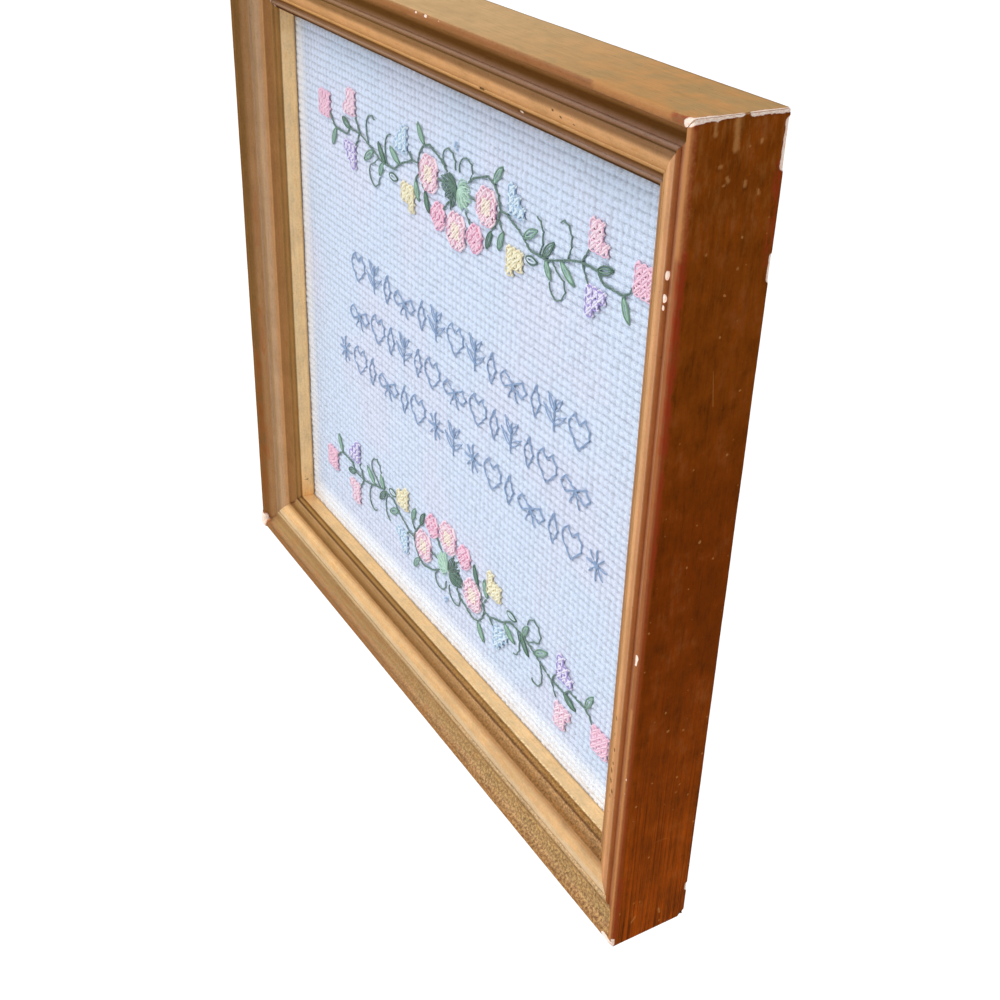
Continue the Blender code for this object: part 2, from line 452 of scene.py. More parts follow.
def mouldingStations():
    # (inward, depth, finish) round the moulding, from its back outer corner and back to it,
    # then the finish that this one turns into and how far it has
    stations = []
    for this, following in zip(moulding["outline"], moulding["outline"][1:]):
        point = Vector(this[:2])
        chord = Vector(following[:2]) - point
        rise, steps, finish = this[2:]
        # these three end sharply
        nextFinish = finish if finish in ("side", "wall", "wood") else following[4]
        spread = 4 * atan(2 * rise / chord.length)
        stride = chord.length / steps
        if spread:
            stride = chord.length * sin(spread / (2 * steps)) / sin(spread / 2)
        heading = chord.normalized()
        heading.rotate(Matrix.Rotation(-spread / 2 * (1 - 1 / steps), 2))
        for step in range(steps):
            turned = max(0.0, step / steps * 2 - 1)
            stations.append((point.x * mm, point.y * mm, finish, nextFinish, turned))
            point = point + heading * stride
            heading.rotate(Matrix.Rotation(spread / steps, 2))
    last = moulding["outline"][-1]
    stations.append((last[0] * mm, last[1] * mm, last[4], last[4], 0.0))
    return stations


def scratchLine(flow, coords, start, end):
    # 1 on the line between two places on the frame, 0 beside it
    start, end = onFrame(*start), onFrame(*end)
    run = end - start
    offset = flow.vector("SUBTRACT", {0: coords, 1: start})
    share = flow.vector("DOT_PRODUCT", {0: offset, 1: run / run.length_squared}, "Value")
    share = flow.calc("MINIMUM", share, 1.0).larger(0.0)
    foot = share.times(run)
    away = flow.vector("DISTANCE", {0: offset, 1: foot}, "Value")
    return 1 - away.fade(0.06 * mm, 0.14 * mm)


def makeGilt():
    constants = {"Specular IOR Level": 0.05, "Specular Tint": srgb(255, 214, 150)}
    material, flow = newMaterial("worn_bronze_gilding", constants)
    palette = {name: srgb(*colour) for name, colour in moulding["palette"].items()}
    # the finish colours, with each rail's painted light and shade in them
    gilding = flow.attribute("gilding", "Color")
    exposed = flow.attribute("gilding", "Alpha")
    dustAndTopLight = flow.attribute("dustAndTopLight")
    uv = flow.add("UVMap", {"uv_map": "moulding"}, {})
    place = uv.stretch(1000, 1000, 1)    # millimetres along and round the moulding
    coords = flow.coords()
    side = coords.part("X")
    height = coords.part("Z")
    around = place.part("Y")

    def beyond(value, centre, zone):
        low, high = moulding[zone]
        return value.fade(centre + low * mm, centre + high * mm)

    onSide = 1 - around.fade(moulding["sideReach"] - 0.8, moulding["sideReach"])
    lowDown = onSide * (1 - beyond(height, middle.z, "lowDown"))
    nearTop = onSide * beyond(height, middle.z, "nearTop")
    redder = onSide * (1 - beyond(height, middle.z, "redder"))
    rightward = beyond(side, middle.x, "rightward")
    speckled = beyond(side, middle.x, "speckled")
    # the bottom rail lies below both of its mitres
    belowLeft = (side - height + (frameLow.z - frameLow.x)).fade(-0.1 * mm, 0.1 * mm)
    belowRight = (frameHigh.x + frameLow.z - side - height).fade(-0.1 * mm, 0.1 * mm)
    alongFoot = belowLeft * belowRight
    onFront = (1 - onSide) * (1 - around.fade(moulding["lipReach"], moulding["lipReach"] + 0.5))
    outer, inner = moulding["bandReach"]
    onBand = around.fade(outer - 0.3, outer + 0.3) * (1 - around.fade(inner - 0.3, inner + 0.3))
    outer, inner = moulding["footReach"]
    onFoot = around.fade(outer - 0.5, outer) * (1 - around.fade(inner - 0.2, inner + 0.2))
    onCove = alongFoot * onFront * (1 - around.fade(inner, inner + 0.5))
    roughened = alongFoot * onFront * speckled * (1 - 0.95 * onBand)

    patches = place.noise(0.13, 4.0, 0.6)
    smudge = place.stretch(0.30, 1, 1).noise(0.70, 5.0, 0.65)
    grain = place.stretch(0.05, 2.2, 1).noise(1.0, 3.0, 0.6)
    sideGrain = place.stretch(0.035, 1.5, 1).noise(1.0, 4.0, 0.75)
    streaks = place.stretch(0.22, 0.75, 1).noise(1.0, 4.0, 0.65)
    fine = place.noise(1.7, 3.0, 0.6)
    speckle = (fine - 0.5) * 0.5
    rough = place.noise(1.5, 3.0, 0.75)

    # tone of the metal leaf and its tarnish; on the sides it is redder and lighter low down,
    # with open grain, and streaked with pale runs near the top
    tone = 0.10 + 0.50 * patches + 0.62 * smudge + 0.28 * grain + 0.34 * fine
    clouded = (smudge - 0.5) * 0.8 + (patches - 0.5) * 0.9
    tone = tone + onSide * ((sideGrain - 0.5) * (0.3 + 1.9 * lowDown) + clouded)
    tone = tone + roughened * (rough - 0.44) * 3.4
    tone = tone * (1 + 0.75 * lowDown + 0.3 * nearTop * streaks)
    toned = gilding.times(tone)
    toned = redder.blend(toned, toned.times(moulding["reddened"]))
    tarnish = smudge.fade(0.50, 0.70) * 0.65
    dulled = tarnish.blend(toned, toned.times(moulding["tarnished"]))
    runs = nearTop * streaks.fade(0.46, 0.66) * 0.34
    haze = onSide * patches.fade(0.50, 0.68) * streaks.fade(0.42, 0.62) * 0.30
    metal = haze.blend(runs.blend(dulled, palette["run"]), palette["haze"])
    # along the foot of the frame the cove is rusty, with ragged dirt in its corner
    rusty = onCove * (1 - 0.8 * speckled) * streaks.fade(0.50, 0.64) * 0.34
    bright = onCove * speckled * rough.fade(0.46, 0.62) * 0.40
    dirt = alongFoot * onFoot * (0.4 + 0.6 * speckled) * rough.fade(0.42, 0.58) * 0.75
    metal = bright.blend(rusty.blend(metal, palette["rust"]), palette["fleck"])
    metal = dirt.blend(metal, palette["dirt"])
    openGrain = place.stretch(0.028, 3.6, 1).noise(1.0, 2.0, 0.5)
    lines = openGrain.fade(0.52, 0.60) * (0.10 * onSide + 0.90 * lowDown)
    lined = (lines * 0.75).blend(metal, metal.times(moulding["inGrain"]))

    # dust and light wear on the top, with painted light that makes the top face lighter as if lit
    # from above; browner and patchy to the right, streaked along the grain
    browner = patches.fade(0.38, 0.62).blend(palette["brownDustAndTopLight"], palette["dustAndTopLight"])
    bloomAndTopLight = rightward.blend(palette["paleDustAndTopLight"], browner)
    bloomedAndTopLit = bloomAndTopLight.times(0.45 + 0.34 * patches + 0.44 * smudge + 0.36 * grain)
    dustedAndTopLit = (dustAndTopLight * (1.02 - 0.2 * tarnish)).blend(lined, bloomedAndTopLit)

    # where it is rubbed through to the red clay
    worn = (exposed * 0.62 + (patches - 0.5) * 0.8 + speckle * 0.8).fade(0.64, 0.92) * 0.35
    rubbed = flow.attribute("clay").fade(0.0, 0.75) * (smudge + speckle).fade(0.34, 0.60)
    gesso = flow.attribute("gesso")
    rim = (gesso + speckle).fade(0.22, 0.50) * 0.5
    clay = worn.larger(rubbed).larger(rim)
    blush = flow.attribute("blush") * smudge.fade(0.35, 0.60) * 0.5
    blushed = blush.blend(dustedAndTopLit, palette["blush"])
    reddened = (clay * 0.8).blend(blushed, palette["clay"])

    # small pits, scuffs, painted highlights on the crests, scratches, and chips down to the white
    # gesso
    pits = place.noise(2.3, 1.0).fade(0.74, 0.775) * 0.7
    pits = pits.larger((flow.attribute("pit") + speckle).fade(0.20, 0.50))
    pitted = (pits * 0.8).blend(reddened, palette["pit"])
    specks = place.noise(0.85, 0.0).fade(0.80, 0.86) * onSide * 0.5
    scratched, *others = [scratchLine(flow, coords, *ends) for ends in scratches]
    for other in others:
        scratched = scratched.larger(other)
    # pale scuffs, scratches and specks, and painted highlights along the crests
    scuffAndHighlight = (flow.attribute("scuffAndHighlight") + speckle).fade(0.10, 0.90) * 0.62
    scuffAndHighlight = scuffAndHighlight.larger(scratched * 0.4).larger(specks)
    scuffedAndHighlit = (scuffAndHighlight * 0.8).blend(pitted, palette["scuffAndHighlight"])
    chip = (gesso + speckle * 0.9).fade(0.40, 0.56)
    ground = fine.fade(0.40, 0.70).blend(palette["gesso"], palette["gessoShade"])
    chipped = chip.blend(scuffedAndHighlit, ground)

    metallic = (1 - chip) * (1 - 0.6 * clay) * (1 - 0.6 * dustAndTopLight) * (1 - 0.6 * scuffAndHighlight) * 0.7
    roughness = 0.38 + 0.16 * patches + 0.12 * tarnish + 0.35 * chip + 0.15 * dustAndTopLight
    relief = 0.30 * grain + 0.24 * fine - 0.8 * pits - 1.0 * chip - 0.6 * scratched - 0.5 * lines
    flow.drive({
        "Base Color": chipped,
        "Metallic": metallic,
        "Roughness": roughness,
        "Normal": relief.bump(0.5, 0.06),
    })
    return material


def awayFrom(co, start, end):
    # distance from a straight piece of wear
    run = end - start
    share = max(0.0, min(1.0, (co - start).dot(run) / max(run.length_squared, 1e-12)))
    return (co - start - run * share).length


def nearWear(work, margin):
    # for each piece of wear, the vertices around it and how far from it they lie
    tree = kdtree.KDTree(len(work.verts))
    for vert in work.verts:
        tree.insert(vert.co, vert.index)
    tree.balance()
    for shows, pieces in wear.items():
        for *ends, reach, sink in pieces:
            start, end = onFrame(*ends[0]), onFrame(*ends[-1])
            limit = 2 * reach * mm + margin
            around = tree.find_range((start + end) / 2, (end - start).length / 2 + limit)
            places = [(index, awayFrom(co, start, end)) for co, index, distance in around]
            yield [place for place in places if place[1] < limit], reach * mm, sink * mm, shows


def wearRail(work):
    # a finer mesh round the wear, then uneven faces, dents, and masks for the gilding
    work.verts.ensure_lookup_table()
    close = set()
    for places, reach, sink, shows in nearWear(work, 0.4 * mm):
        close.update(index for index, away in places)
    edges = [edge for edge in work.edges if close.issuperset(vert.index for vert in edge.verts)]
    bmesh.ops.subdivide_edges(work, edges=edges, cuts=1, use_grid_fill=True)
    work.verts.index_update()
    work.verts.ensure_lookup_table()
    work.normal_update()

    masks = {shows: work.verts.layers.float.new(shows) for shows in (*wear, "dustAndTopLight")}
    moves = []
    for vert in work.verts:
        uneven = sum(noise.noise(vert.co * scale) * rise for scale, rise in moulding["uneven"])
        moves.append(vert.normal * uneven * mm)
        # dust on the upward faces of the top, which also paints them lighter, as lit from above
        if vert.co.z > frameHigh.z - 0.4 * mm:
            vert[masks["dustAndTopLight"]] = max(0.0, vert.normal.z - 0.5) * 2
    for places, reach, sink, shows in nearWear(work, 0.0):
        ragged = moulding["raggedChip" if shows == "gesso" else "ragged"]
        for index, away in places:
            vert = work.verts[index]
            share = 1 - away / (2 * reach * (1 + noise.noise(vert.co * 900) * ragged))
            if share > 0:
                vert[masks[shows]] = max(vert[masks[shows]], share)
                moves[index] -= vert.normal * sink * min(1.0, max(0.0, share - 0.35) * 3.5)
    for vert, move in zip(work.verts, moves):
        vert.co += move


def makeRail(node, index, length, span, turn, material):
    # drawn as a bottom rail, then turned about the frame's middle
    def colourOf(finish):
        # a finish's colour on this rail, with the light and shade painted on that rail
        exposure, *colours = moulding["finishesAndPaintedLight"][finish]
        return Vector(srgb(*colours[index % len(colours)])[:3])

    work = bmesh.new()
    around = work.verts.layers.float.new("around")
    gilding = work.verts.layers.float_color.new("gilding")
    reach = 0.0
    chain = []
    for inward, depth, finish, nextFinish, turned in mouldingStations():
        vert = work.verts.new((-1.0, depth, inward))
        if chain:
            reach += (vert.co - chain[-1].co).length
            work.edges.new((chain[-1], vert))
        colour = colourOf(finish).lerp(colourOf(nextFinish), turned)
        vert[around] = reach
        vert[gilding] = (*colour, moulding["finishesAndPaintedLight"][finish][0])
        chain.append(vert)

    drawn = bmesh.ops.extrude_edge_only(work, edges=work.edges[:])
    farEnd = [item for item in drawn["geom"] if isinstance(item, bmesh.types.BMVert)]
    bmesh.ops.translate(work, verts=farEnd, vec=(2.0, 0, 0))
    lengthwise = [edge for edge in work.edges if abs(edge.verts[0].co.x - edge.verts[1].co.x) > 1]
    bmesh.ops.subdivide_edges(work, edges=lengthwise, cuts=moulding["cuts"], use_grid_fill=True)
    for vert in work.verts:
        vert.co.x *= length / 2 - moulding["mitreGap"] * mm - vert.co.z

    shift = index * moulding["patternShift"]
    unwrapped = work.loops.layers.uv.new("moulding")
    for face in work.faces:
        for loop in face.loops:
            loop[unwrapped].uv = (loop.vert.co.x + shift, loop.vert[around])
    bmesh.ops.remove_doubles(work, verts=work.verts, dist=0.001 * mm)
    closeHoles(work)
    stand = Matrix.Rotation(turn, 4, "Y") @ Matrix.Translation((0, 0, -span / 2))
    onto = Matrix.Translation((middle.x, frontY, middle.z)) @ stand
    bmesh.ops.transform(work, matrix=onto, verts=work.verts)
    wearRail(work)
    return finishPiece("gilt_" + node, work, material, sharp=moulding["sharp"])


def makeRails():
    gilt = makeGilt()
    width = frameHigh.x - frameLow.x
    height = frameHigh.z - frameLow.z
    rails = (
        ("rail_bottom", width, height, 0.0),
        ("rail_right", height, width, -pi / 2),
        ("rail_top", width, height, pi),
        ("rail_left", height, width, pi / 2),
    )
    for index, (node, length, span, turn) in enumerate(rails):
        rail = makeRail(node, index, length, span, turn, gilt)
        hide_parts(node)


makeRails()
print("rails gilded")


# Block-weave cloth

weave = {
    "block": 25.4 * mm / 14,
    "designRight": 4.7 * mm,     # the design's middle, right of the frame's
    "quadsAcross": 3,            # in one block
    "quadsUp": 4,
    "rowGroove": 0.30,           # depths in millimetres
    "columnGroove": 0.15,
    "hole": 0.40,
    "shoulder": 0.12,
    "puffed": 0.14,              # one block more than another
    "wavy": 0.22,                # rows, up and down
    "waveScale": 420,            # of the noise
    "uneven": 0.05,
    "sag": 0.08,
    "sagScale": 70,
    "thickness": 0.95,
    "sharp": 75,                 # degrees
    "tint": (0.66, 0.74, 0.90, 1.0),
    "warmTint": (0.70, 0.73, 0.88, 1.0),
    # painted light: a lighter, whiter cloth where the gilt walls would bounce light onto it
    "wallBounceTint": (0.88, 0.91, 0.98, 1.0),    # beside the left and bottom rails
}
block = weave["block"]
designX = middle.x + weave["designRight"]
designZ = middle.z
clothY = clothLow.y


def makeClothFinish():
    constants = {"Roughness": 0.95, "Specular IOR Level": 0.2, "Sheen Weight": 0.15}
    material, flow = newMaterial("white_block_weave", constants)
    coords = flow.coords()
    threadsPerMetre = 4 / block
    threaded = coords.stretch(threadsPerMetre, 1, threadsPerMetre)
    waves = [flow.calc("SINE", threaded.part(axis) * pi) for axis in "XZ"]
    ridgeAcross, ridgeUp = [flow.calc("ABSOLUTE", wave) for wave in waves]
    flat = coords.stretch(1, 0, 1)
    over = flow.add("TexChecker", {}, {"Vector": flat, "Scale": threadsPerMetre}, "Fac")
    threads = over * ridgeAcross + (1 - over) * ridgeUp
    fuzz = coords.noise(1700, 3.0, 0.75)
    clouds = coords.noise(38, 3.0, 0.5)
    tint = clouds.fade(0.38, 0.66).blend(weave["tint"], weave["warmTint"])
    # painted bounce light beside the left and bottom walls, which also softens the painted shade
    # of the grooves
    besideLeft = 1 - coords.part("X").fade(clothLow.x + 4 * mm, clothLow.x + 10 * mm)
    besideFoot = 1 - coords.part("Z").fade(clothLow.z + 7 * mm, clothLow.z + 12 * mm)
    wallBounce = (besideLeft * 0.85).larger(besideFoot)
    tint = wallBounce.blend(tint, weave["wallBounceTint"])
    # painted shade: the grooves and holes darker, less so in the painted bounce, and the gaps
    # between threads darker
    hollow = flow.attribute("hollow")
    light = 1.30 - 0.40 * hollow * (1 - 0.7 * wallBounce) - 0.10 * (1 - threads) - 0.38 * fuzz
    bump = (threads * 0.6 + fuzz * 1.6).bump(0.9, 0.14)
    flow.drive({"Base Color": tint.times(light), "Normal": bump})
    return material


def makeCloth():
    across = block / weave["quadsAcross"]
    up = block / weave["quadsUp"]
    left = int((clothLow.x - designX) / across)
    right = int((clothHigh.x - designX) / across)
    half = int((clothHigh.z - designZ) / up)
    work = bmesh.new()
    bmesh.ops.create_grid(work, x_segments=right - left, y_segments=2 * half, size=0.5)
    size = Matrix.Diagonal(((right - left) * across, 2 * half * up, 1, 1))
    stand = Matrix.Rotation(pi / 2, 4, "X")
    place = Matrix.Translation((designX + (left + right) / 2 * across, clothY, designZ))
    bmesh.ops.transform(work, matrix=place @ stand @ size, verts=work.verts)

    # painted shade for each hole and groove, set at random along the grooves
    hollow = work.verts.layers.float.new("hollow")
    rim = [edge for edge in work.edges if edge.is_boundary]
    dice = random.Random(3)
    for vert in work.verts:
        column = round((vert.co.x - designX) / across) % weave["quadsAcross"]
        row = round((vert.co.z - designZ) / up) % weave["quadsUp"]
        if column == 0 and row == 0:
            sink, vert[hollow] = weave["hole"], 1.0
        elif row == 0:
            sink, vert[hollow] = weave["rowGroove"], dice.uniform(0.15, 0.95)
        elif column == 0:
            sink, vert[hollow] = weave["columnGroove"], dice.uniform(0.1, 0.6)
        else:
            # the block's threads lean, high from the lower left to the upper right
            sink = weave["shoulder"] if (column, row) in ((1, 3), (2, 1)) else 0.0
            sink += weave["puffed"] * noise.cell((vert.co - Vector((designX, 0, designZ))) / block)
        sink += weave["sag"] * (0.5 + 0.5 * noise.noise(vert.co * weave["sagScale"]))
        sink += dice.uniform(0, 2 * weave["uneven"])
        vert.co.y += sink * mm
        vert.co.x += dice.uniform(-1, 1) * weave["uneven"] * mm
        wave = noise.noise(vert.co * weave["waveScale"]) * weave["wavy"]
        vert.co.z += (dice.uniform(-1, 1) * weave["uneven"] + wave) * mm
    back = bmesh.ops.extrude_edge_only(work, edges=rim)
    for item in back["geom"]:
        if isinstance(item, bmesh.types.BMVert):
            item.co.y = clothY + weave["thickness"] * mm
    closeHoles(work)
    cloth = finishPiece("woven_cloth", work, makeClothFinish(),
                        ["embroidered_cloth"], weave["sharp"])
    flat = ((right - left) * across, 2 * half * up)
    return cloth, flat


cloth, clothFlat = makeCloth()
print("cloth woven:", [round(side / mm, 1) for side in clothFlat], "mm")


# Stitches. Places are counted in blocks from the design's middle: across, then up.

floss = {
    "pink": (254, 212, 230), "clear_pink": (246, 195, 219), "pale_pink": (255, 230, 240),
    "rose": (233, 171, 195), "deep_pink": (234, 150, 186), "cream": (255, 240, 226),
    "yellow": (255, 249, 220), "gold": (236, 219, 172), "lilac": (240, 235, 255),
    "violet": (172, 154, 222), "pale_blue": (228, 243, 254), "sky_blue": (174, 206, 235),
    "leaf_dark": (76, 112, 92), "leaf_mid": (116, 154, 132), "leaf_light": (168, 208, 186),
    "mint": (208, 238, 222), "stem_green": (104, 134, 122), "slate_blue": (150, 178, 216),
}
# For each kind of stitch: the radius of a ply, how many plies, how far the middle stands proud and
# how far the ends go down into the holes, or stay above them if it is below 0; in millimetres
kinds = {
    "under": (0.30, 2, 0.00, 0.03),
    "over": (0.25, 2, 0.24, 0.04),
    "outline": (0.15, 1, 0.35, -0.25),
    "stem": (0.13, 2, 0.06, 0.14),
    "line": (0.105, 2, 0.05, 0.16),
    "fine": (0.13, 1, 0.05, 0.12),
    "tendril": (0.17, 1, 0.06, 0.12),
    "edge": (0.16, 1, 0.08, 0.12),
    "satin": (0.14, 1, 0.10, 0.15),
}
thread = {
    "spread": 1.04,      # of two plies from their middle, in radii
    "longest": 1.5,      # stitch on a line, in blocks
    "past": 0.11,        # reach of a cross past its holes, in blocks
    "bulge": 0.16,       # of the outline round a flower, in blocks
    "twist": 1.3,        # of two plies along a stitch, in radians
    # the deep colour is the painted shade along a ply's twist
    "deep": 0.90,        # share of the full colour
    # a knot's radius, what each turn takes off it, its height and what each turn adds to it
    "knot": (0.24, 0.05, 0.06, 0.14),
    "places": (0.0, 0.08, 0.28, 0.5, 0.72, 0.92, 1.0),
}
strands = {name: [] for name in floss}
hand = random.Random(21)


def lay(colour, kind, start, end, bow=0.0):
    # one stitch from hole to hole: it dives at both ends and stands proud between them
    radius, plies, lift, dive = kinds[kind]
    first = Vector((start[0], 0, start[1])) * block
    run = Vector((end[0], 0, end[1])) * block - first
    side = Vector((-run.z, 0, run.x)).normalized()
    spread = thread["spread"] * radius * (plies - 1)
    lean = hand.uniform(-0.5, 0.5)
    lift += hand.uniform(-0.02, 0.03)
    for ply in range(plies):
        points = []
        for share in thread["places"]:
            arch = min(1.0, 1.5 * sin(pi * share) ** 0.6)
            height = (dive + lift) * arch - dive
            angle = lean + ply * pi + (share - 0.5) * thread["twist"]
            bend = bow * block * max(0.0, sin(pi * share)) ** 0.8
            offset = cos(angle) * spread * (0.70 + 0.30 * arch) * mm
            point = first + run * share + side * (bend + offset)
            point.y = -(height + sin(angle) * spread * 0.8) * mm
            points.append(point)
        strands[colour].append((points, radius))


def cross(colour, column, row):
    # the under leg, then the top leg; all top legs lean the same way, and both fill the holes
    left, low = column - thread["past"], row - thread["past"]
    right, high = column + 1 + thread["past"], row + 1 + thread["past"]
    lay(colour, "under", (left, high), (right, low))
    lay(colour, "over", (left, low), (right, high))


def run(colour, kind, points):
    # back stitches, end to end along a line
    for start, end in zip(points, points[1:]):
        start, end = Vector(start), Vector(end)
        count = ceil((end - start).length / thread["longest"])
        for step in range(count):
            lay(colour, kind, start.lerp(end, step / count), start.lerp(end, (step + 1) / count))


def leaf(edge, fill, base, tip, fullness=0.50):
    # a looped edge with straight stitches inside
    base, tip = Vector(base), Vector(tip)
    for bow in (-fullness, fullness):
        lay(edge, "edge", base, tip, bow)
    for bow in (-0.45 * fullness, 0.45 * fullness):
        lay(fill, "satin", base.lerp(tip, 0.10), base.lerp(tip, 0.88), bow)


def blade(fill, vein, base, tip, fullness=0.50):
    # a full leaf of satin stitches side by side
    base, tip = Vector(base), Vector(tip)
    across = Vector((base.y - tip.y, tip.x - base.x)).normalized()
    for share in (-1.0, -0.5, 0.0, 0.5, 1.0):
        reach = base.lerp(tip, hand.uniform(0.88, 1.0) - 0.16 * abs(share)) + across * share * 0.35
        lay(vein if abs(share) == 0.5 else fill, "satin", base, reach, fullness * share)


def loop(colour, base, tip, fullness=0.30):
    # a lazy daisy: an open loop held down at its tip
    base, tip = Vector(base), Vector(tip)
    for bow in (-fullness, fullness):
        lay(colour, "fine", base, tip, bow)
    lay(colour, "fine", base.lerp(tip, 0.96), base.lerp(tip, 1.16))


def knot(colour, x, y):
    # thread wound twice round the needle
    radius, narrowing, low, rise = thread["knot"]
    points = []
    for step in range(17):
        turns = step / 8
        angle = turns * 2 * pi
        reach = (radius - narrowing * turns) * mm
        across, up = x * block + cos(angle) * reach, y * block + sin(angle) * reach
        points.append(Vector((across, -(low + rise * turns) * mm, up)))
    strands[colour].append((points, kinds["fine"][0]))


def chart(rows, corner, colours, outline, flip, side):
    # crosses as charted, top row first, with a bowed back stitch round each colour and a straight
    # one between the blocks of a colour, but for the cream; a dot is a block half filled along its
    # diagonal; corner is the chart's lower left hole; flip and side are -1 to mirror it
    filled = {}
    for row, line in enumerate(reversed(rows) if flip > 0 else rows):
        for column, key in enumerate(line if side > 0 else reversed(line)):
            if key != " ":
                filled[(column, row)] = key

    bulge = thread["bulge"]
    for (column, row), key in filled.items():
        x, y = corner[0] + column, corner[1] + row
        if key == ".":
            # the half away from the chart's middle stays bare
            right = int(2 * column + 1 < len(rows[0]))
            up = int(2 * row + 1 < len(rows))
            near = filled[(column + 2 * right - 1, row)]
            start, end = (x + 1 - right, y + up), (x + right, y + 1 - up)
            lay(colours[near], "under", start, end)
            lay(colours[near], "over", (x + 0.5, y + 0.5), (x + right, y + up))
            lay(outline, "outline", start, end, bulge if right == up else -bulge)
            continue
        cross(colours[key], x, y)
        sides = {
            (-1, 0): ((x, y), (x, y + 1)),
            (1, 0): ((x + 1, y + 1), (x + 1, y)),
            (0, -1): ((x + 1, y), (x, y)),
            (0, 1): ((x, y + 1), (x + 1, y + 1)),
        }
        for (across, up), (start, end) in sides.items():
            beyond = filled.get((column + across, row + up), " ")
            if beyond == " " or key < beyond:
                lay(outline, "outline", start, end, bulge)
            elif beyond == key != "c" and across + up > 0:
                lay(outline, "outline", start, end)


garland = {
    "rise": 26,          # of the garland's own middle above the design's
    # the lower garland is sewn to the left and slants down to the right
    "lower": {"shift": -1, "drop": 0.95, "slant": 0.027},
    # places that the stitches of the vine join, from the middle spray to the garland's end
    "vine": (
        (2.5, 1.5), (4, 2.5), (5.5, 3), (7, 3.5), (8.5, 3), (9.5, 2), (10, 0.5), (11.5, 0.5),
        (12.5, 0), (14, -0.5), (15, -1), (16.5, -2), (18, -2), (20, -2), (21.5, -1.5), (23, -1),
        (24.5, -0.5), (26.5, 0), (28, 0), (29.5, 0), (30.5, -1), (32, -1), (34, -1), (35, -0.5),
        (35.8, 0.6),
    ),
    # rows of crosses from the top, the colour of each key, the outline's colour
    "charts": {
        "rosette": ((".pp.", "pccp", "pccp", ".pp."), {"p": "pale_pink", "c": "cream"}, "rose"),
        "bud": ((".d.", "ddd", ".d."), {"d": "pink"}, "deep_pink"),
        "yellowBell": (("yyy", "yyy", "y  "), {"y": "yellow"}, "gold"),
        "blueBell": (("b  ", "bb ", "bbb"), {"b": "pale_blue"}, "sky_blue"),
        "violetBell": (("lll", "ll ", "l  "), {"l": "lilac"}, "violet"),
        "tulip": (("pp ", "pp ", "ppp"), {"p": "pale_pink"}, "clear_pink"),
        "endFlower": (("ppp", "ppp", "ppp"), {"p": "pink"}, "clear_pink"),
    },
    # chart, its middle across and up
    "blossoms": (
        ("rosette", 7, 0), ("bud", 4.5, -4.5), ("yellowBell", 13, -4.5), ("blueBell", 14, 2.5),
        ("violetBell", 29.5, -3.5), ("tulip", 29.5, 3.5), ("endFlower", 37.5, 1.5),
    ),
    "stems": (
        ((3, 0), (5, 0)), ((2, -2), (3.5, -3.5)), ((10, 0.5), (9.5, -0.8), (8.2, -2.4)),
        ((9.8, -0.8), (10.7, -1.8)), ((11.5, 0.5), (12.3, 1.3)), ((26.5, 0), (27.8, 1.8)),
        ((26.6, 0), (27.3, -1.2), (28, -2)),
    ),
    "tendrils": (
        ((0.5, 2.2), (0.5, 3.2), (1.2, 4), (2.3, 4.3), (3.3, 3.8), (3.6, 2.8), (3, 2)),
        ((23.9, -0.6), (24.5, 0.8), (24.5, 2), (23.8, 3), (22.8, 3.2), (22.2, 2.8)),
        ((18.4, -1.9), (19, -0.6), (19, 0.8), (18.4, 1.8), (17.6, 2.1)),
        ((21, -1.8), (22.2, -2.7), (23.4, -3.2), (23.8, -4.3), (23.1, -5.4), (22, -5.8),
         (21, -5.2), (20.6, -4.2)),
    ),
    # base, tip, filling
    "leaves": (
        ((8.3, 3.1), (10.2, 5.4), "leaf_light"), ((8.2, -2.4), (7.0, -4.9), "leaf_mid"),
        ((10.7, -1.8), (9.7, -4.2), "leaf_light"), ((15, -1), (17.8, 0.6), "leaf_light"),
        ((19, -2), (21.2, 0.3), "leaf_mid"), ((19.6, -2), (20.8, -4), "leaf_light"),
        ((22.5, -1.2), (25.4, -3.1), "leaf_light"), ((29.3, 0), (32.1, 0.9), "leaf_mid"),
        ((34, -1), (35.4, -3.6), "leaf_light"), ((15.6, -3.1), (18, -3), "pale_blue"),
    ),
    "darkSpray": ((2.8, 1.3), (4.2, 0.6), (4.3, -0.7), (3.3, -1.9), (1.7, -2.9)),
    "lightSpray": ((2.3, 1.5), (3.3, 0.7), (3.4, -0.6), (2.6, -1.8), (1.2, -2.4)),
    "knots": ((0.5, 5.0), (0.1, 4.7), (0.3, 5.4)),
}


